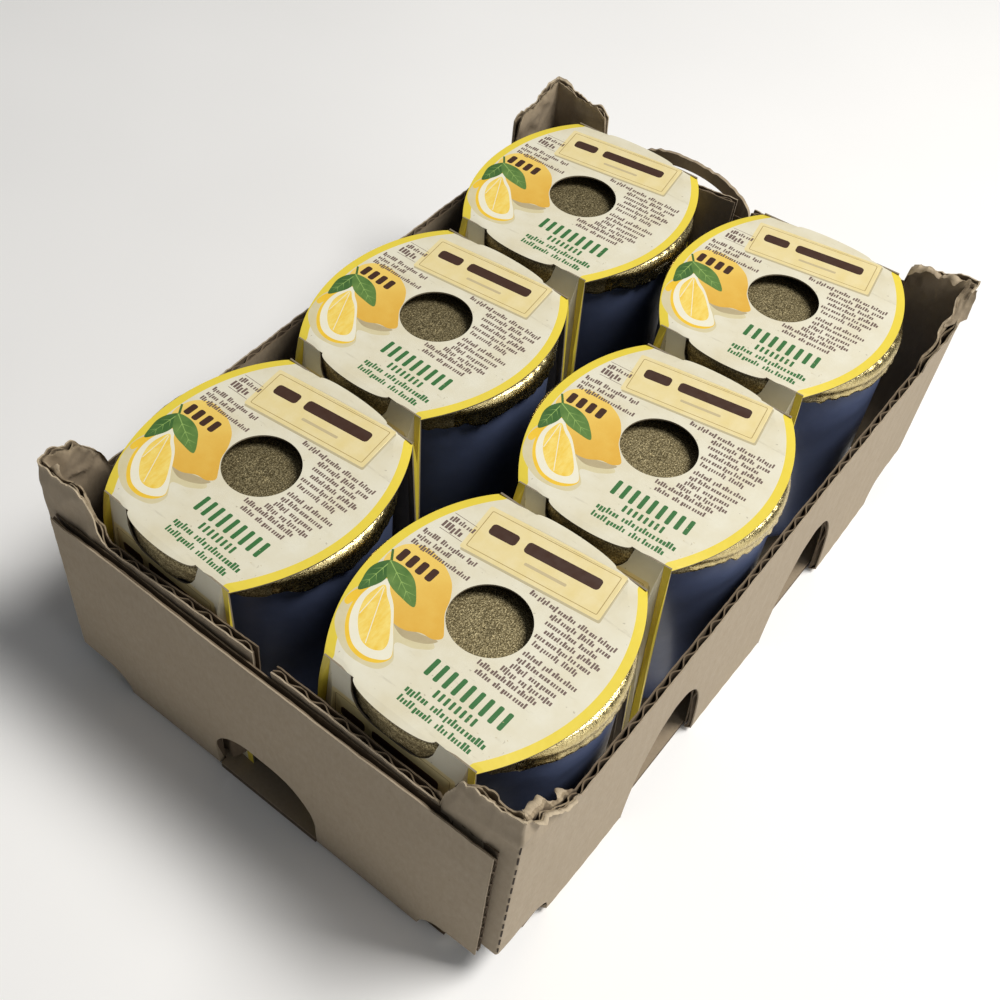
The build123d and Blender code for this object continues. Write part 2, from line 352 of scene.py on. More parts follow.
def make_mesh(name, points, faces, index, looks, sharp=None, **stored):
    """Mesh with a look number for each face and stored point values, smooth up to the sharp angle."""
    mesh = bpy.data.meshes.new(name)
    mesh.from_pydata((np.array(points) * MM).tolist(), [], [list(map(int, face)) for face in faces])
    mesh.polygons.foreach_set("material_index", np.array(index, np.int32))
    for look in looks:
        mesh.materials.append(look)
    for key, values in stored.items():
        mesh.attributes.new(key, "FLOAT", "POINT").data.foreach_set("value", values.astype(np.float32))
    if sharp:
        mesh.polygons.foreach_set("use_smooth", np.ones(len(faces), bool))
        mesh.update()
        mesh.set_sharp_from_angle(angle=radians(sharp))
    mesh.update()
    return mesh


def add_object(name, data):
    made = bpy.data.objects.new(name, data)
    scene.collection.objects.link(made)
    return made


def columns(start, end, spacing, jumps):
    """Sample positions, closer together either side of each place where an outline jumps."""
    regular = np.linspace(start, end, int(round((end - start) / spacing)) + 1)
    extra = [at + s * d for at in jumps for s in (-1, 1) for d in (0.012, 0.05, 0.16, 0.4)
             if start < at + s * d < end]
    return np.unique(np.round(np.concatenate([regular, extra]), 3))


# ---- corrugated board

BOARD, LINER, PLY, PITCH = 2.2, 0.38, 0.34, 6.0  # whole board, each liner, fluted ply, flute to flute
PRESS = 0.04  # the flutes sink this far into the liners
STRAY = 0.06  # random drift of the flutes, as a share of the pitch
WASHBOARD = 0.03  # the flutes show through the liners by this much
ROWS = np.concatenate([np.linspace(0, 0.1, 4), np.linspace(0.16, 0.80, 10), np.linspace(0.83, 1.0, 12)])


def board(shell, u, low, high, place, upright, seed, ragged, rows=ROWS, wander=None, fold=True, lap=None,
          bare=0.0):
    """Corrugated board between two outlines: outer liner, inner liner and flutes, each a closed sheet.

    place(u, v, w) puts a point; w runs from 0 at the inner face to BOARD at the outer face.
    wander(u, v, top) gives how far the inner and outer liner leave their places, and the torn amount.
    lap(u, layer) is the length of torn liner that curls over the edge, away from the flutes.
    bare is how much higher the outer liner starts, where it is torn off the flutes."""
    swing = BOARD / 2 - LINER - PLY / 2 + PRESS
    base, crest = low(u), high(u)

    def bent(v, w):
        """Near a fold at the bottom edge the board is pinched to its inner face."""
        near = np.clip(1 - v / BOARD, 0, 1)
        pinch = np.where(base[:, None] < 0.01, np.sqrt(np.clip(1 - near ** 2, 0.02, 1)), 1.0)
        return w * pinch if fold else w

    for layer in (OUTER, INNER, FLUTES):
        rough = noise(seed + layer, u, 0, 1.7) * 0.6 + noise(seed + 5 + layer, u, 3, 0.7) * 0.4
        top = crest + ragged * rough - (0.35 if layer == FLUTES else 0.0)
        foot = base + (bare if layer == OUTER else 0.0)
        t = rows
        if layer == FLUTES and not upright:
            t = np.linspace(0, 1, int((crest.max() - base.min()) / 0.7))
        v = foot[:, None] + (top - foot)[:, None] * t[None, :]
        over = np.zeros_like(v)
        if lap and layer != FLUTES:
            length = lap(u, layer)[:, None] * np.linspace(0.12, 1, 9)[None, :]
            v = np.concatenate([v, np.broadcast_to(top[:, None], length.shape)], 1)
            over = np.concatenate([over, length], 1)
        uu = np.broadcast_to(u[:, None], v.shape)
        inward, outward, torn = wander(uu, v, top[:, None]) if wander else (0.0, 0.0, 0.0)
        wave = (uu if upright else v) / PITCH
        if layer == FLUTES:
            phase = 2 * pi * (wave + STRAY * noise(seed + 9, uu, v, 13))
            share = 0.5 + 0.5 * np.sin(phase)
            middle = BOARD / 2 + swing * np.sin(phase) + share * outward - (1 - share) * inward
            slope = np.cos(phase) * swing * 2 * pi / PITCH
            half = PLY / 2 * np.sqrt(1 + slope ** 2)
            w0, w1 = middle - half, middle + half
        else:
            w0 = (BOARD - LINER + outward if layer == OUTER else -inward) \
                + WASHBOARD * np.sin(2 * pi * wave)
            w1 = w0 + LINER
        radius = (0.9 if layer == INNER else 0.4) + 0.12 * noise(seed + 11, v, 0, 5)
        arc = np.minimum(over / radius, 2.7)
        away = 1 if layer == OUTER else -1
        sheets = []
        for w in (w1, w0):
            r = radius + away * (w - (w0 + w1) / 2)
            shift = radius - r * np.cos(arc) + away * (w - (w0 + w1) / 2)
            rest = over - arc * radius
            sheets.append(place(uu, v + r * np.sin(arc) - rest * np.cos(pi - arc),
                                bent(v, w) + away * (shift + rest * np.sin(arc)) * (over > 0)))
        # The liners' faces towards the flute cells take the darker flute board: painted shade inside the
        # cells.
        look, back_look = (FLUTES, INNER) if layer == INNER else (layer, FLUTES)
        shell.slab(sheets[0], sheets[1], look, torn, back_look)


END_Y = 106.15  # outer faces of the flaps
ARCH_Y, ARCH_HALF, ARCH_TOP = 35.6, 17.4, 37.0
FLAP_ARCH_HALF, FLAP_ARCH_TOP = 18.0, 24.8
PANEL_ARCH_HALF, PANEL_ARCH_TOP = 17.2, 24.0
NOTCH_Y, NOTCH_X = 85.35, 49.8  # where the stacking notches start along a wall and along an end
NOTCH_RISE, PANEL_RISE = 11.6, 9.4
NOTCH_ROUND, ARCH_ROUND = 8.0, 14.0
HUNG = [(-3, 24.6), (6.4, 23), (8.6, 18), (10.6, 9.6), (14.4, 3.4), (18.2, 2.3)]  # lower edge of a loose flap


def notch_rise(at, start, rise):
    """Height of a stacking notch, round where it starts."""
    over = np.clip(start + NOTCH_ROUND - at, 0, NOTCH_ROUND)
    return rise - NOTCH_ROUND + np.sqrt(NOTCH_ROUND ** 2 - over ** 2)


def shoulder(x, half, top):
    """Height of a low arch with round shoulders."""
    over = np.clip(np.abs(x) - (half - ARCH_ROUND), 0, None)
    return top - ARCH_ROUND + np.sqrt(np.clip(ARCH_ROUND ** 2 - over ** 2, 0, None))


def wall_low(u, side):
    """Bottom edge of a long wall and its flaps along the folded path: arches, notches and end arch."""
    at = np.abs(u)
    x = along_flap(1, at)
    low = ARCH_TOP * np.sqrt(np.clip(1 - ((at - ARCH_Y) / ARCH_HALF) ** 2, 0, 1))
    low = np.where(at > NOTCH_Y, notch_rise(at, NOTCH_Y, NOTCH_RISE), low)
    flap = np.where(x > NOTCH_X, notch_rise(x, NOTCH_X, NOTCH_RISE), BOARD)
    flap = np.where(x < FLAP_ARCH_HALF, shoulder(x, FLAP_ARCH_HALF, FLAP_ARCH_TOP), flap)
    if side > 0:
        flap = np.where((u > 0) & (x > NOTCH_X), BOARD + 0.1, flap)
    else:
        flap = np.where((u < 0) & (x < HUNG[-1][0]), outline(HUNG)(x), flap)
    return np.where(at > CORNER_U, np.where(x > FLAT_X, NOTCH_RISE, flap), low)


FOLD_IN = 0.05  # inner radius of a folded corner
FLAT_X = 69.5 - FOLD_IN  # the flaps are straight inside this x
FLAT_Y = 103.95 - FOLD_IN  # the walls are straight inside this y
ARC_U = (FOLD_IN + BOARD / 2) * pi / 2
CORNER_U = FLAT_Y + ARC_U  # where the corner ends and the flap begins
POST_Y, POST_X = 82.0, 48.0  # the torn posts begin here along a wall and end here along a flap


def along_flap(side, x):
    """Folded path to a place x on the flap, and back from the path to x."""
    return CORNER_U + FLAT_X - side * x


TORN = {
    # side: rail height, torn outline of the wall (y, z), of the front flap and of the back flap (x, z)
    1: (58.0,
        [(-106.2, 79.4), (-103.4, 76.8), (-101.4, 74.6), (-99, 73.2), (-97, 70.2), (-94.6, 68.9), (-92.6, 66),
         (-89.9, 64.1), (-87.4, 62.4), (-85.6, 60.6), (-83.4, 59.8), (-82.8, 58), (86.6, 58), (87.4, 60.2),
         (89.6, 61.6), (92, 64.9), (94.2, 66), (96.5, 68.7), (100, 71.4), (102.4, 74.6), (104.2, 77.4),
         (106.2, 79.5)],
        [(3.4, 65), (25, 64.3), (51.6, 63.4), (52, 68.6), (53.4, 71.2), (55, 75.8), (58, 77.8), (62, 78.8),
         (66, 78.4)],
        [(3.4, 68), (30, 68.6), (53.2, 69), (53.7, 75.4), (58, 77.2), (62, 77), (66, 78.6)]),
    -1: (61.0,
         [(-106.2, 79), (-100.2, 79.6), (-97.6, 77.8), (-95.4, 77.9), (-93.2, 74.6), (-90.6, 70.6),
          (-88.2, 66.6), (-86.4, 61), (84, 61), (84.6, 74.6), (87.5, 76.6), (92, 76.2), (97, 78.2),
          (102, 79.6), (106.2, 80.6)],
         [(-2.6, 66), (-24, 65.3), (-50.2, 63.8), (-51.6, 65.8), (-52.8, 68.8), (-54.4, 72.6), (-55.4, 77.6),
          (-58.4, 79), (-62, 77.6), (-66, 78.4)],
         [(-2.6, 68.6), (-10, 67.9), (-18, 67.3), (-50.4, 67.8), (-51.2, 75.4), (-55, 77.8), (-60, 77.2),
          (-66, 79.6)]),
}


def side_board(side):
    """Long wall with the two flaps folded round from it, torn along the top."""
    rail, wall, front, back = TORN[side]
    edge = [(y, z) for y, z in wall if abs(y) < 103]
    edge += [(-(CORNER_U - 1.2), wall[0][1]), (CORNER_U - 1.2, wall[-1][1])]
    edge += [(-along_flap(side, x), z) for x, z in front] + [(along_flap(side, x), z) for x, z in back]
    torn_edge = outline(edge)
    jumps = [s * a for s in (-1, 1) for a in (ARCH_Y - ARCH_HALF, ARCH_Y + ARCH_HALF, NOTCH_Y,
                                              along_flap(1, NOTCH_X), along_flap(1, FLAP_ARCH_HALF))]
    u = columns(-along_flap(side, front[0][0]), along_flap(side, back[0][0]), PITCH / 10, jumps)
    bend = FLAT_Y + ARC_U * np.array([0.005, 0.02, 0.05, 0.1, 0.2, 0.35, 0.5, 0.65, 0.8, 0.9, 0.95, 0.98,
                                      0.995])
    u = np.unique(np.concatenate([u, bend, -bend]))

    def post(at):
        """1 on the torn posts, 0 along the rails."""
        return ease((torn_edge(at) - rail - 0.8) / 4) * ease((np.abs(at) - POST_Y) / 4) \
            * ease((along_flap(1, POST_X) - np.abs(at)) / 4)

    def wander(at, v, top):
        """Crushed, crumpled and pocked liners on the posts, slight wear along the rails."""
        torn = post(at)
        near = ease(1 - (top - v) / 7)
        lip = ease(1 - (top - v) / 1.8)
        crush = torn * near * np.clip(0.14 + 0.75 * noise(20 + side, at, 0.3 * v, 8), 0, 0.62)
        inward = -crush + 0.35 * torn * lip * ridges(33 + side, at, 0.5 * v, 3.4)
        outward = -crush + 0.28 * torn * lip * ridges(24 + side, at, 0.5 * v, 2.9)
        fold = ridges(36 + side, at + 0.5 * v, v - 0.3 * at, 8, 2.6)
        fine = ridges(39 + side, at - 0.8 * v, v + 0.5 * at, 4.2, 2.6)
        crumple = torn * ease((v - 56) / 12) * (0.25 * fold + 0.1 * fine)
        pocked = torn * ease((v - 60) / 8) * (0.45 * fold + 0.4 * fine)
        if side > 0:
            crumple = crumple + 1.6 * ease((at - 86) / 6) * ease((105 - at) / 10) * ease((v - 58) / 14)
            crumple = crumple - 0.9 * ease((-84 - at) / 4) * ease((at + 101) / 4) * ease((v - 62) / 12)
        else:
            crumple = crumple - 1.0 * ease((-88 - at) / 4) * ease((at + 103) / 4) * ease((v - 64) / 12)
        crumple = crumple + 0.22 * noise(44 + side, at, v, 31)
        rail_wear = 0.12 * noise(42 + side, at, v, 3.5) * ease(1 - (top - v) / 3)
        bleached = ease(1 - (top - v) / np.where(torn > 0.3, 1.5, 0.6)) * (0.12 + 0.78 * torn)
        return inward + pocked - crumple + rail_wear, outward + crumple + rail_wear, bleached

    def lap(at, layer):
        """Torn liner that curls over the edge of the posts, ragged and in patches."""
        patch = 0.12 + noise(50 + layer + side, at, 0, 9) + 0.4 * noise(53 + layer + side, at, 0, 3.1)
        folded, clear = 0.0, 1.0
        if side > 0:
            folded = layer * ease((at - CORNER_U - 1) / 2)
            clear = ease((along_flap(side, 51.6) - at) / 2.4)
            patch = patch + 0.75 * ease((-80 - at) / 3) * ease((at + 106) / 4) + 1.1 * folded
        ragged = 0.35 * noise(56 + layer + side, at, 0, 1.1)
        reach = np.where(at < 0, 1.0, (0.45 + 0.55 * folded) * clear)
        return reach * post(at) * np.clip((0.9, 2.8)[layer] * patch + ragged, 0.05, 4.4) + 0.02

    def place(at, v, w):
        """Wraps the board round its folded corners, then bellies the wall and the flaps a little."""
        s, a = np.sign(at), np.abs(at)
        turn = np.clip((a - FLAT_Y) / ARC_U, 0, 1) * pi / 2
        bent = np.clip(w, 0, 0.75)
        x = np.where(a > CORNER_U, along_flap(1, a),
                     FLAT_X + (w - bent) * (a < CORNER_U) + (FOLD_IN + bent) * np.cos(turn))
        y = np.where(a > CORNER_U, FLAT_Y + FOLD_IN + w,
                     np.minimum(a, FLAT_Y) + (w - bent) * (a > FLAT_Y) + (FOLD_IN + bent) * np.sin(turn))
        belly = np.clip(1 - (a / 108) ** 4, 0, 1)
        rise = v / rail
        if side > 0:
            belly = belly * ((1 - rise) * (1.3 + 0.35 * at / 106) - 0.7 * rise * at / 106)
        else:
            belly = belly * 1.2 * rise
        x = x + np.where(a > FLAT_Y, 0.0, belly)
        y = y + 0.45 * noise(46 + side, at * s, v, 24) * np.where(a > CORNER_U + 6, ease((v - 12) / 30), 0)
        return np.stack([side * x, s * y, v], -1)

    shell = Shell()
    bare = 0.0 if side > 0 else np.maximum(wall_low(u, 1) - wall_low(u, side), 0) * (u < 0)
    board(shell, u, lambda at: wall_low(at, side), torn_edge, place, True, 60 + 20 * side,
          0.28 + 0.5 * post(u), wander=wander, lap=lap, bare=bare)
    if side > 0:
        perforation(shell, place)
        torn_corner(shell)
    name = "right" if side > 0 else "left"
    shell.tray_piece(f"board_{name}_side", BOARD_LOOKS, f"wall_{name}", f"flap_front_{name}",
                     f"flap_back_{name}")


def perforation(shell, place):
    """Row of short cuts up the front crease, drawn as thin dark slabs: painted shade inside the cuts."""
    crease = np.linspace(FLAT_Y + 0.34 * ARC_U, FLAT_Y + 0.62 * ARC_U, 4)
    for k in range(12):
        u, v = np.meshgrid(-crease, np.linspace(13.4, 15.6 + 0.5 * (k % 3), 4) + 4.85 * k, indexing="ij")
        # Each cut is a dark slab lying in the crease, standing in for the shade inside the slit.
        shell.slab(place(u, v, BOARD + 0.05), place(u, v, BOARD - 0.3), PAINTED_CUT_SHADE)


def torn_corner(shell):
    """Loose facet of torn liner over the back corner post."""
    s, t = np.meshgrid(np.linspace(0, 1, 14), np.linspace(0, 1, 22), indexing="ij")
    a, b, c, d = (np.array(p) for p in ((69.6, 105, 76.4), (72.6, 104.4, 77.4), (73.9, 99.8, 70.8),
                                        (69.8, 95.6, 68.2)))
    facet = (a + (b - a) * s[..., None]) * (1 - t[..., None]) + (d + (c - d) * s[..., None]) * t[..., None]
    facet[..., 0] += 0.3 * noise(160, 9 * s, 13 * t, 3)
    facet[..., 2] += 0.35 * ridges(161, 9 * s, 13 * t, 4.5, 2) + 0.6 * noise(163, 9 * s, 0 * t, 1.5) * t
    shell.slab(facet, facet - np.array([0.1, 0, 0.3]), INNER, 0.3)


def end_panel(node, side):
    """Outer panel glued over the flaps of one end."""
    low, high = millimetres(node)
    x0, x1 = low[0], high[0]
    crest = outline([(x0, 63.2), (x0 + 3.5, 62.9), (x0 + 4.4, 62.2), (x0 + 6.0, 62.8), (0.0, 62.6),
                     (x1 - 7.0, 62.3), (x1 - 5.2, 61.8), (x1 - 4.2, 62.2), (x1, 62.2)])

    def bottom(x):
        at = np.abs(x)
        notch = np.where(at > NOTCH_X, notch_rise(at, NOTCH_X, PANEL_RISE), 0.0)
        return np.where(at < PANEL_ARCH_HALF, shoulder(x, PANEL_ARCH_HALF, PANEL_ARCH_TOP), notch)

    def place(x, v, w):
        bow = 0.8 * (1 - (x / 70) ** 2) * np.sin(np.clip(v / 63, 0, 1) * pi)
        bow = bow + 0.22 * noise(71 + side, x, v, 19)
        return np.stack([x, side * (END_Y + 0.05 + w + bow), v], -1)

    def wander(x, v, top):
        wear = 0.1 * noise(75 + side, x, v, 4) * ease(1 - (top - v) / 2.5)
        return wear, wear, ease(1 - (top - v) / 0.6) * 0.15

    shell = Shell()
    u = columns(x0, x1, 1.9, [-NOTCH_X, -PANEL_ARCH_HALF, PANEL_ARCH_HALF, NOTCH_X])
    board(shell, u, bottom, crest, place, False, 90 + 20 * side, 0.14, np.linspace(0, 1, 46), wander)
    if side > 0:
        torn_header(shell)
    shell.tray_piece("board_" + node, BOARD_LOOKS, node)


def torn_header(shell):
    """Strip of the hood left on the back panel, with half of its finger slot."""
    centre, half, foot, slot_half = -20.0, 22.0, 61.6, 17.0

    def crest(x):
        return foot + 11.4 * np.sqrt(np.clip(1 - ((x - centre) / (half + 0.3)) ** 2, 0, 1)) \
            + 0.35 * noise(131, x, 0, 1.6) + 0.25 * noise(132, x, 0, 4)

    def slot(x):
        return foot + 7.7 * np.sqrt(np.clip(1 - ((x - centre) / slot_half) ** 2, 0, 1))

    def place(x, v, w):
        lean = 0.5 * ease((v - 62) / 11) + 0.3 * noise(133, x, v, 7)
        return np.stack([x, END_Y + 0.8 + w + lean, v], -1)

    u = columns(centre - half, centre + half, 0.5, [centre - slot_half, centre + slot_half])
    base, top = slot(u), crest(u)
    v = base[:, None] + (top - base)[:, None] * np.linspace(0, 1, 12)[None, :]
    x = np.broadcast_to(u[:, None], v.shape)
    torn = 0.9 * ease((x + 1.5) / 1.5) + 0.25 * ease(1 - (top[:, None] - v) / 0.5)
    shell.slab(place(x, v, 1.1), place(x, v, 0.0), INNER, torn)


def floor_board():
    """Floor of the tray, with its corners cut away and a tongue into each end arch."""
    tongue = millimetres("tray_floor")[1][1]

    def back(x):
        at = np.abs(x)
        reach = np.where(at > 65.7, 92.2, np.where(at > 56.7, 100.2, 106.2))
        return np.where(at < 16.6, tongue, reach)

    def place(x, v, w):
        return np.stack([x, v, w + np.clip(0.25 * noise(150, x, v, 30), 0, 1) * 0.3], -1)

    shell = Shell()
    u = columns(-70.3, 70.3, 4.4, [s * a for s in (-1, 1) for a in (16.6, 56.7, 65.7)])
    board(shell, u, lambda x: -back(x), back, place, False, 152, 0.05, np.linspace(0, 1, 60), fold=False)
    shell.tray_piece("board_floor", [BOARD_LOOKS[k] for k in (INNER, OUTER, FLUTES, PAINTED_CUT_SHADE)], "tray_floor")


# ---- printed sleeve

TOP, CARTON, FOIL = 74.1, 0.45, 0.07
FOLD_Y, FOLD_X, BELLY_X, BASE_X, LOW_Y, LEAN_Z = 30.86, 21.2, 31.5, 25.5, 32.78, 63.4
WINDOW, SLOT_X, SLOT_DROP = 9.84, 12.4, 9.7
SLOT_MID = 0.9  # the slots sit off the middle, towards -X in front and +X behind


def oval(cx, cy, rx, ry, turn, count):
    a = np.linspace(0, 2 * pi, count, endpoint=False)
    return turned(np.stack([rx * np.cos(a), ry * np.sin(a)], -1), turn, (cx, cy))


def turned(points, degrees, centre=(0, 0)):
    c, s = cos(radians(degrees)), sin(radians(degrees))
    return [(centre[0] + c * x - s * y, centre[1] + s * x + c * y) for x, y in points]


def rounded(width, height, radius, steps=3):
    """Rectangle with round corners, centred on zero."""
    out = []
    for k, (sx, sy) in enumerate(((1, 1), (-1, 1), (-1, -1), (1, -1))):
        for j in range(steps + 1):
            a = pi / 2 * (k + j / steps)
            out.append((sx * (width / 2 - radius) + radius * cos(a),
                        sy * (height / 2 - radius) + radius * sin(a)))
    return out


def flowing(points, steps=6):
    """Closed smooth curve through a few points."""
    p, out = [np.array(q, float) for q in points], []
    for k in range(len(p)):
        a, b, c, d = p[k - 1], p[k], p[(k + 1) % len(p)], p[(k + 2) % len(p)]
        for j in range(steps):
            t = j / steps
            out.append(tuple(0.5 * (2 * b + (c - a) * t + (2 * a - 5 * b + 4 * c - d) * t * t
                                    + (3 * b - a - 3 * c + d) * t ** 3)))
    return out


def strokes(x0, x1, y, height, rng, look="text"):
    """A line of short upright strokes grouped like words. It spells nothing."""
    regions, x = [], x0
    while x < x1 - height:
        word = min(rng.integers(3, 9) * height * 0.42, x1 - x)
        end = x + word
        while x < end - 0.2 * height:
            tall = y + height * (1.0 if rng.random() < 0.3 else 0.68)
            wide = x + height * rng.uniform(0.26, 0.38)
            low = y - height * (0.22 if rng.random() < 0.12 else 0.0)
            regions.append(([(x, low), (wide, low), (wide, tall), (x, tall)], look))
            x += height * 0.46
        x = end + 0.35 * height
    return regions


def blocks(x0, x1, y, height, count, look, gap=1.0):
    """A row of blank rounded blocks where a large word was, with gaps in block widths."""
    wide = (x1 - x0) / (count + (count - 1) * gap)
    shape = rounded(wide, height, min(wide, height) * 0.32)
    return [([(x0 + wide * (k * (1 + gap) + 0.5) + px, y + height / 2 + py) for px, py in shape], look)
            for k in range(count)]


def plaque(cx, cy, width, height, turn):
    """Blank label plate: shadow, plate, thin frame line, two plain bars and a short fine one."""
    parts = (
        # width, height, corner radius, look, offset from the middle
        (width, height, 0.5, "plate_shadow", 0.5, -0.7),
        (width, height, 0.5, "plate", 0, 0),
        (width - 2.2, height - 2.2, 0.4, "plate_line", 0, 0),
        (width - 2.6, height - 2.6, 0.3, "plate", 0, 0),
        (width * 0.20, height * 0.24, 1.0, "brown", -width * 0.31, height * 0.10),
        (width * 0.54, height * 0.24, 1.0, "brown", width * 0.12, height * 0.10),
        (width * 0.30, height * 0.06, 0.3, "tan", width * 0.06, -height * 0.21),
    )
    return [(turned([(x + dx, y + dy) for x, y in rounded(w, h, r)], turn, (cx, cy)), look)
            for w, h, r, look, dx, dy in parts]


FRUIT = (
    # look, points of its smooth outline: shadows, lemon, second wedge, then rind, pith and flesh of the first
    ("shade", [(-27.6, -12), (-24, -9), (-14, -13), (-7, -12.6), (-4.4, -14), (-7.6, -16.8), (-11.6, -18.4),
        (-8.9, -22.4), (-10.6, -26.4), (-18, -27.4), (-25, -23.4), (-27.8, -17.5)]),
    ("shade_deep", [(-15.6, -14.4), (-9.6, -13.2), (-5, -11.9), (-6.8, -14.4), (-11.6, -16.2)]),
    ("lemon", [(-28.8, 0.4), (-27.6, 3.6), (-24.4, 5.8), (-20.4, 5.9), (-16.6, 4.6), (-12.8, 2.2),
        (-10.2, -1.4), (-8.6, -5.2), (-6.3, -8.2), (-4.7, -10.6), (-6.2, -12.3), (-9.2, -12.8),
        (-12.4, -14.6), (-16.2, -14.6), (-21, -12), (-26, -6.8), (-28.6, -3)]),
    ("rind", [(-27.7, -17.2), (-27.6, -13.6), (-25.2, -10.2), (-23.8, -11.6), (-25.6, -14.4),
        (-26.2, -17.8)]),
    ("rind", [(-24.3, -6.3), (-21.6, -8.6), (-18.4, -11.2), (-14.6, -15.6), (-11.6, -19.2), (-9.7, -22),
        (-11, -24.8), (-14.4, -26.4), (-18.6, -25.8), (-22.4, -22.9), (-25, -18.9), (-26.3, -14.4),
        (-26, -10)]),
    ("pith", [(-24.2, -6.6), (-21.5, -8.9), (-18.3, -11.4), (-14.5, -15.8), (-11.4, -19.4), (-9.9, -22),
        (-11.3, -24), (-14.5, -25.3), (-18.3, -24.8), (-21.8, -22.2), (-24.4, -18.5), (-25.7, -14.2),
        (-25.5, -10.1)]),
    ("flesh", [(-23.5, -8.3), (-21.2, -10.3), (-18.3, -12.4), (-15, -16.2), (-12.7, -19.6), (-12.6, -21.9),
        (-14.8, -23.2), (-17.7, -22.8), (-20.8, -20.4), (-23.1, -17.4), (-24.5, -13.8),
        (-24.4, -10.4)]),
)
LEAF = ((0, 0), (0.2, 0.75), (0.45, 1), (0.7, 0.75), (1, 0), (0.72, -0.6), (0.45, -0.9), (0.2, -0.7))


def fruit():
    """A lemon, a wedge cut from it and two leaves, drawn flat."""
    out = [(flowing(points), look) for look, points in FRUIT]
    for a, b in np.array([[(-23.6, -8.8), (-22.6, -17.9)], [(-23.2, -9.0), (-16.4, -22.8)]]):
        aside = np.array([a[1] - b[1], b[0] - a[0]]) / hypot(*(b - a)) * 0.10
        out.append(([tuple(p) for p in (a - aside, b - aside, b + aside, a + aside)], "pith"))
    out.append(([(-27.3, -2.4), (-29.2, 0.3), (-28.7, 0.6), (-26.8, -2.0)], "leaf_dark"))
    for tip, root, wide, look in (((-27.2, -13.3), (-27.0, -2.2), 2.5, "leaf_dark"),
                                  ((-14.7, -8.6), (-27.2, -2.4), 3.0, "leaf")):
        root, tip = np.array(root), np.array(tip)
        run = tip - root
        across = np.array([-run[1], run[0]]) / np.hypot(*run)
        out.append((flowing([root + run * t + across * wide * h for t, h in LEAF]), look))
        veins = [(root - across * 0.14, root + run * 0.92, root + across * 0.14)]
        for t in (0.25, 0.45, 0.65):
            a = root + run * t
            veins += [(a, a + run * 0.02, a + run * 0.18 + across * s * wide * (0.8 - 0.35 * t))
                      for s in (-1, 1)]
        out += [([tuple(point) for point in vein], "vein") for vein in veins]
    return out


def top_print():
    """Regions of the sleeve's top panel, the later ones over the earlier ones."""
    rng = np.random.default_rng(11)
    radius = (FOLD_Y ** 2 + (BELLY_X - FOLD_X) ** 2) / (2 * (BELLY_X - FOLD_X))
    arc = asin(FOLD_Y / radius)

    def side_curve(inset):
        return [(BELLY_X - radius + (radius - inset) * cos(t), (radius - inset) * sin(t))
                for t in np.linspace(-arc, arc, 36)]

    right = side_curve(0.0)
    tongue = [((SLOT_X - 0.9) * cos(t), 2.6 * sin(t)) for t in np.linspace(0, pi, 21)]
    edge = right + [(SLOT_MID + x, FOLD_Y + 0.65 * d) for x, d in tongue]
    edge += [(-x, y) for x, y in reversed(right)] + [(-SLOT_MID - x, -FOLD_Y - d) for x, d in tongue]
    inner = [(18.0, -34.0)] + side_curve(2.3) + [(18.0, 34.0)]
    out = [(edge, "yellow"), (inner + [(-x, y) for x, y in reversed(inner)], "cream")]
    out += fruit()
    out += plaque(-1.1, 21.0, 36.6, 14.6, 7.6)
    for y in (18.3, 12.5):
        out.append(([(-25.2, y), (-18.6, y + 0.1), (-18.6, y + 0.25), (-25.2, y + 0.15)], "text"))
    for line in ((-25.0, -18.4, 16.2, 1.5), (-25.4, -18.0, 13.3, 2.1), (-27.4, -11.2, 9.0, 1.45),
                 (-27.4, -17.6, 6.9, 1.45), (-27.4, -10.4, 4.8, 1.45)):
        out += strokes(*line, rng)
    out += blocks(-27.0, -16.6, -1.2, 3.9, 4, "brown", 0.55)
    lines = [(2.0, 25.6, 11.6), (9.2, 25.8, 9.5), (9.5, 25.4, 7.4), (10.8, 25.4, 5.3), (9.8, 25.2, 3.2),
             (10.7, 24.8, 1.1), (10.7, 24.8, -2.2), (10.7, 24.2, -4.3), (10.7, 24.4, -6.4),
             (9.5, 24.6, -8.5), (4.8, 21.5, -10.6), (5.8, 19.6, -12.7)]
    for x0, x1, y in lines:
        out += strokes(x0, x1, y, 1.5, rng)
    out += blocks(-2.2, 19.0, -20.2, 5.0, 9, "green", 1.1)
    out += blocks(3.0, 14.0, -23.4, 2.3, 8, "green")
    out += strokes(-2.4, 18.8, -26.1, 1.9, rng, "green")
    out += strokes(-2.2, 18.8, -28.8, 1.8, rng, "green")
    for _ in range(16):
        x, y = rng.uniform(4, 22), rng.uniform(-29, -18)
        out.append((oval(x, y, rng.uniform(0.08, 0.3), 0.07, rng.uniform(-30, 30), 6), "tan"))
    return out + [(oval(0, 0, WINDOW, WINDOW, 0, 72), None)]


def panel_length():
    """Length of the front or back panel from fold to fold."""
    return hypot(LOW_Y - FOLD_Y, TOP - LEAN_Z) + LEAN_Z - BOARD


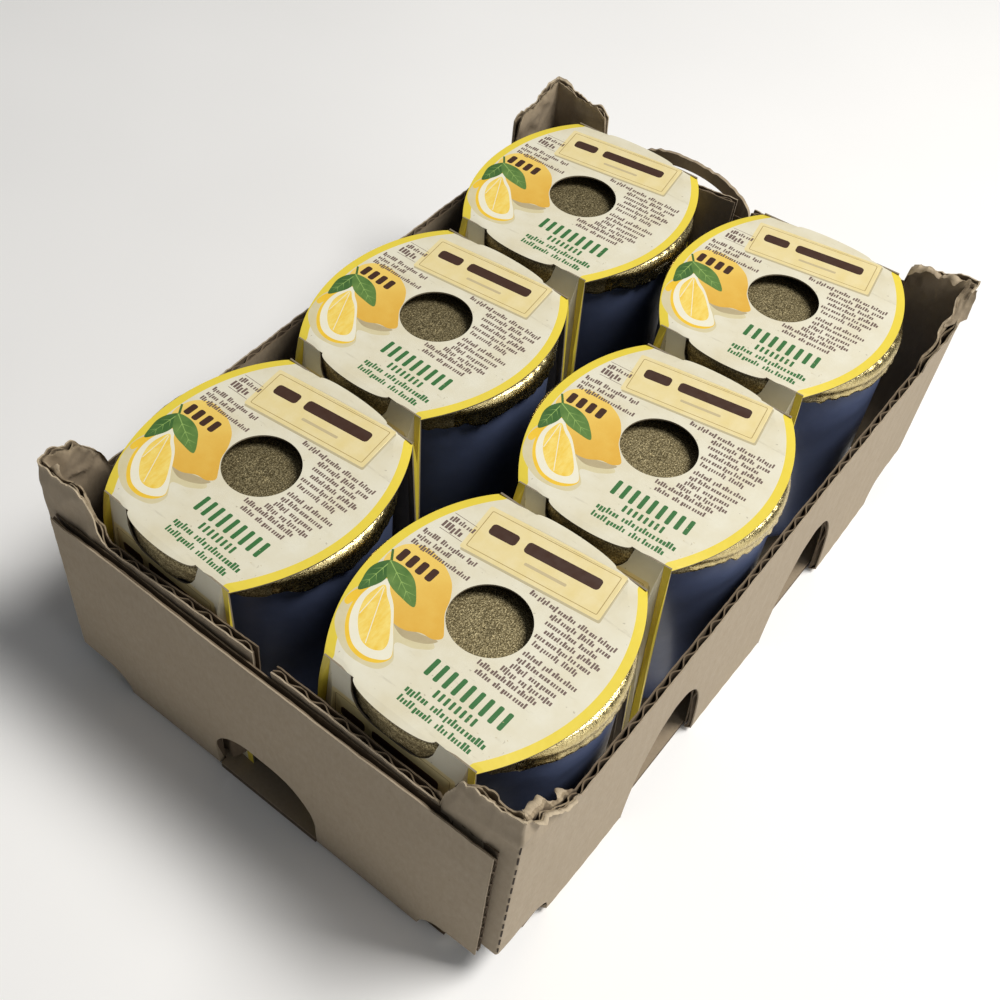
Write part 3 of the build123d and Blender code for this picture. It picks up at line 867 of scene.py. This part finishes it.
def panel_print(seed):
    """Regions of the front or back panel: x across, y = 0 at the top fold and downwards negative."""
    rng = np.random.default_rng(seed)
    run = panel_length()
    slot = [(SLOT_X * t - SLOT_MID, -SLOT_DROP * sqrt(1 - t ** 4)) for t in np.arange(-16, 17) / 16]
    out = [([(-FOLD_X, 0), (-BASE_X, -run), (BASE_X, -run), (FOLD_X, 0)], "yellow"),
           ([(-FOLD_X + 2, 1), (-BASE_X + 2, -run - 1), (BASE_X - 2, -run - 1), (FOLD_X - 2, 1)], "cream")]
    out += plaque(0.0, -14.8, 35.0, 15.0, 0.0)
    out += blocks(-10.5, 10.5, -34.5, 4.6, 9, "green", 1.1)
    out += blocks(-5.5, 5.5, -38.2, 2.1, 8, "green")
    for k, y in enumerate((-43.6, -46.4)):
        out += strokes(-11.5 + k, 11.5, y, 1.8, rng, "green")
    for k in range(5):
        out += strokes(-16.0, 16.0 - 3 * (k % 2), -54.5 - 2.3 * k, 1.4, rng)
    out.append(([(-SLOT_X - SLOT_MID, 1)] + slot + [(SLOT_X - SLOT_MID, 1)], None))
    return out


def triangles(regions, spacing):
    """Triangles of the first region, each with the look of the last region that covers it."""
    points, faces = [], []
    for polygon, _ in regions:
        area = sum(a[0] * b[1] - b[0] * a[1] for a, b in zip(polygon, polygon[1:] + polygon[:1]))
        polygon = polygon if area > 0 else polygon[::-1]
        faces.append(list(range(len(points), len(points) + len(polygon))))
        points += [Vector((float(x), float(y))) for x, y in polygon]
    xs, ys = [p.x for p in points], [p.y for p in points]
    for x in np.arange(min(xs), max(xs), spacing):
        for y in np.arange(min(ys), max(ys), spacing):
            points.append(Vector((float(x) + 0.031, float(y) + 0.017)))
    found, _, tris, _, _, owners = delaunay_2d_cdt(points, [], faces, 1, 1e-5, True)
    kept = [(tri, regions[max(own)][1]) for tri, own in zip(tris, owners) if 0 in own]
    return [tuple(p) for p in found], [(tri, look) for tri, look in kept if look]


def sleeve_mesh():
    """Printed carton wrapped over the lid, down the front and back and under the pot."""
    names = list(PRINT)
    points, faces, looks = [], [], []

    def add(regions, spacing, place, flip=False):
        flat, tris = triangles(regions, spacing)
        start, used = len(points), {}
        for tri, look in tris:
            face = []
            for k in tri:
                if k not in used:
                    used[k] = start + len(used)
                    points.append(place(*flat[k]))
                face.append(used[k])
            faces.append(face[::-1] if flip else face)
            looks.append(names.index(look))

    def on_top(x, y):
        """Top panel: bends down at its folds and corners, less on the tongues over the slots."""
        past = max(0.0, hypot(x, y) - 31.5)
        beside = abs(x - copysign(SLOT_MID, y)) - SLOT_X
        dip = 0.12 * float(ease((abs(y) - FOLD_Y + 0.5) / 0.5) * ease(beside / 0.8))
        droop = 0.03 * max(0.0, abs(y) - FOLD_Y) ** 2
        return x, y, TOP - dip - droop - 0.02 * past ** 2 + 0.1 * (1 - (x / 31) ** 2)

    lean = hypot(LOW_Y - FOLD_Y, TOP - LEAN_Z)

    def on_panel(side):
        def place(x, s):
            d = -s
            if d < lean:
                y, z = FOLD_Y + (LOW_Y - FOLD_Y) * d / lean, TOP - 0.12 + (LEAN_Z - TOP + 0.12) * d / lean
            else:
                y, z = LOW_Y, LEAN_Z - (d - lean)
            y += 0.14 * sin(pi * min(1.0, max(0.0, (74 - z) / 70))) * (1 - (x / 26) ** 2)
            return (-side * x, side * y, z)
        return place

    add(top_print(), 2.4, on_top)
    for side, seed in ((-1, 21), (1, 22)):
        add(panel_print(seed), 4.0, on_panel(side))
    base = [([(-BASE_X, -LOW_Y), (BASE_X, -LOW_Y), (BASE_X, LOW_Y), (-BASE_X, LOW_Y)], "cream")]
    add(base, 8.0, lambda x, y: (x, y, BOARD + 0.02), flip=True)
    return make_mesh("printed_sleeve", points, faces, looks, PRINT.values())


# ---- pots and lids

def round_mesh(name, profile, count, shape, looks, sharp, second=0, **stored):
    """Profile (r, z) turned round Z and changed by shape(angle, r, z).

    second marks the faces with the second look, and stored values run along the profile."""
    grid = count, len(profile)
    a = np.linspace(0, 2 * pi, count, endpoint=False)[:, None]
    r, z = shape(a, *(np.broadcast_to(c, grid) for c in np.array(profile, float).T))
    idx = np.arange(r.size).reshape(grid)
    nxt = np.roll(idx, -1, axis=0)
    quads = np.stack([idx[:, :-1], nxt[:, :-1], nxt[:, 1:], idx[:, 1:]], -1)
    return make_mesh(name, np.stack([r * np.cos(a), r * np.sin(a), z], -1).reshape(-1, 3),
                     quads.reshape(-1, 4), np.broadcast_to(second, quads.shape[:2]).ravel(), looks, sharp,
                     **{key: np.broadcast_to(values, grid).ravel() for key, values in stored.items()})


def pot_mesh():
    """Straight stoneware pot with a foot ring and a rolled rim."""
    base = BOARD + CARTON + 0.05
    profile = [(r, base + z) for r, z in (
        (0, 1.4), (22.0, 1.4), (24.6, 1.3), (25.2, 0.3), (26.0, 0), (27.6, 0), (28.6, 0.4), (29.8, 1.2),
        (30.8, 2.7), (31.5, 4.8), (31.9, 7.5))]
    profile += [(32.0, z) for z in np.linspace(base + 10.0, 57.0, 14)]
    profile += [(31.9, 60.0), (31.6, 63.0), (31.3, 65.2), (31.3, 66.6), (31.6, 67.8), (32.3, 69.0),
                (32.7, 70.4), (32.6, 71.6), (32.1, 72.5), (31.4, 73.0), (30.5, 73.0), (29.9, 72.6),
                (29.3, 71.6), (28.7, 70.0), (27.7, 66.4), (27.5, 60.0), (27.45, 20.0), (27.4, base + 8.4),
                (26.6, base + 6.6), (25.2, base + 5.3), (0, base + 4.65)]

    def shape(a, r, z):
        wall = ease((z - base - 4) / 10) * ease((64 - z) / 6) * (r > 31)
        return r + wall * (0.07 * np.sin(3 * a + z / 22) + 0.05 * np.sin(5 * a - z / 9)), z

    r, z = np.array(profile).T
    foot = ease((29.2 - r) / 1.0) * (z < base + 1.5)
    return round_mesh("glazed_pot", profile, 144, shape, [GLAZE_LOOK], 60, foot=foot)


def foil_mesh(seed):
    """Foil lid: dished middle with fine dents, rim with short pleats, crumpled skirt with a torn edge."""
    profile = [(r, 70.22) for r in range(0, 24, 3)]
    profile += [(24, 70.23), (26, 70.26), (27.6, 70.5), (28.3, 71.1), (28.9, 72.1), (29.4, 72.8),
                (30, 73.25), (30.6, 73.44), (31.2, 73.44), (31.8, 73.28), (32.3, 72.95), (32.7, 72.4),
                (33, 71.8), (33.12, 71.2), (33.12, 70.6), (33, 70), (32.85, 69.4), (32.8, 68.8),
                (32.85, 68.2), (32.9, 67.6), (33, 67)]
    rng = np.random.default_rng(seed)
    count = 420
    pleats = np.cumsum(rng.uniform(0.55, 1.6, count))
    pleats = pleats / pleats[-1] * 2 * pi * 52

    def pressed(a):
        """One where the panels of the sleeve hold the foil flat, zero at the open sides."""
        return ease((np.abs(np.sin(a)) - 0.62) / 0.16)

    def shape(a, r, z):
        arc = a * 33.0
        ring = ease((r - 29.0) / 2.5)
        skirt = ease((72.2 - z) / 5.5) * (r > 32)
        fine = np.sin(pleats)[:, None]
        x, y = r * np.cos(a), r * np.sin(a)
        dents = 0.015 * noise(seed, x, y, 2.3) + 0.05 * noise(seed + 1, x, y, 7.0)
        lift = dents * (r < 32.5) * ease((r - 2) / 12) + 0.07 * fine * ring * (r < 32.5)
        edge = 1.2 * noise(seed + 2, arc, 0, 5.5) + 0.8 * noise(seed + 3, arc, 0, 1.9)
        edge = edge - edge[0] * ease(1 - a / 0.12) - edge[-1] * ease(1 - (2 * pi - a) / 0.12)
        edge = edge - 1.5 * np.sin(a) ** 2 + 0.2
        down = skirt * edge * ease((70.5 - z) / 3.5)
        crumple = 0.14 * fine * ease((71.5 - z) / 2.5) + 0.16 * ridges(seed + 4, arc, z, 3.6)
        out = skirt * (crumple * (1 - 0.8 * pressed(a)) + 0.1)
        out = np.minimum(out, 0.55) - 0.10 * skirt
        return r + out * 0.75, z + lift + down

    azimuth = np.arange(count)[:, None] * 2 * pi / count
    # The middle and the rim under the sleeve's panels take the darker foil: painted shade.
    second = (np.arange(len(profile) - 1) < 13) | (pressed(azimuth) > 0.4)
    return round_mesh("foil_lid_mesh", profile, count, shape, [RIM_LOOK, SHADED_FOIL_LOOK], 35, second=second)


def thicken(piece, thickness, inner):
    """Gives a sheet its thickness inwards; inner is the look of its inside and edges."""
    mod = piece.modifiers.new("thickness", "SOLIDIFY")
    mod.thickness = thickness * MM
    mod.offset = -1
    mod.material_offset = mod.material_offset_rim = inner


def potted(spot, pot, foil, sleeve):
    """Places the pot, foil lid and sleeve of one spot, and gives its filling a look."""
    low, high = millimetres(f"pot_{spot}")
    x, y = (low[0] + high[0]) / 2, (low[1] + high[1]) / 2
    turn, shift = SPOTS[spot]
    body = f"potted_{spot}"
    for kind, mesh, slot, spin, dx, thickness, inner in (
            ("pot", pot, "pot_glaze", 90.0 * (len(spot) % 4), 0.0, 0.0, 0),
            ("foil_lid", foil, "lid_foil", 0.0, 0.0, FOIL, 0),
            ("sleeve", sleeve, "sleeve_carton", turn, shift, CARTON, len(PRINT))):
        piece = add_object(f"{kind}_look_{spot}", mesh)
        piece.matrix_world = Matrix.Translation(((x + dx) * MM, y * MM, 0)) @ Matrix.Rotation(
            radians(spin), 4, "Z")
        if thickness:
            thicken(piece, thickness, inner)
        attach(piece, body)
        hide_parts(f"{kind}_{spot}")
    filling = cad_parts[f"yogurt_{spot}"]
    for k in range(max(1, len(filling.material_slots))):
        if not filling.material_slots:
            filling.data.materials.append(FILLING_LOOK)
        filling.material_slots[k].material = FILLING_LOOK


for side in (1, -1):
    side_board(side)
end_panel("panel_front", -1)
end_panel("panel_back", 1)
floor_board()
pot_shape, sleeve_shape = pot_mesh(), sleeve_mesh()
for number, spot in enumerate(SPOTS):
    potted(spot, pot_shape, foil_mesh(200 + 10 * number), sleeve_shape)


# ---- floor, light and camera

def stage_floor():
    look = Look("stage_floor", srgb(248, 247, 245), Roughness=0.9)
    look.paint(look.grain(9, 2, 0.5), srgb(245, 244, 242))
    corners = [(3000 * x, 3000 * y, -0.2) for x, y in ((-1, -1), (1, -1), (1, 1), (-1, 1))]
    mesh = make_mesh("stage_floor", corners, [(0, 1, 2, 3)], [0], [look.material])
    add_object("stage_floor", mesh)


def soft_light(name, place, size, power, colour):
    """Square light that points at the middle of the tray."""
    data = bpy.data.lights.new(name, "AREA")
    data.shape, data.size, data.energy, data.color = "SQUARE", size, power, colour
    lamp = add_object(name, data)
    lamp.location = place
    lamp.rotation_euler = (Vector((0, 0, 0.04)) - Vector(place)).to_track_quat("-Z", "Y").to_euler()


stage_floor()
soft_light("window_light", (0.50, 0.32, 1.10), 0.45, 15.8, (1.0, 0.985, 0.96))
soft_light("right_fill", (1.1, -0.1, 0.45), 0.6, 2.5, (1.0, 1.0, 1.0))
world = bpy.data.worlds.new("studio")
world.use_nodes = True
sky = world.node_tree.nodes["Background"].inputs
sky["Color"].default_value = (0.93, 0.96, 1.0, 1)
sky["Strength"].default_value = 0.125
scene.world = world
scene.view_settings.view_transform = "Standard"

azimuth, elevation, roll = (radians(a) for a in (36.10, 50.70, 3.78))
look_along = Vector((-sin(azimuth) * cos(elevation), cos(azimuth) * cos(elevation),
                     -sin(elevation)))
camera = add_object("camera", bpy.data.cameras.new("camera"))
camera.matrix_world = (Matrix.Translation((0.1190, -0.2108, 0.3132))
                       @ look_along.to_track_quat("-Z", "Y").to_matrix().to_4x4()
                       @ Matrix.Rotation(roll, 4, "Z"))
camera.data.lens, camera.data.sensor_width = 47.06, 36.0
camera.data.shift_x, camera.data.shift_y = 0.0741, 0.0047
camera.data.clip_start = 0.01
scene.camera = camera
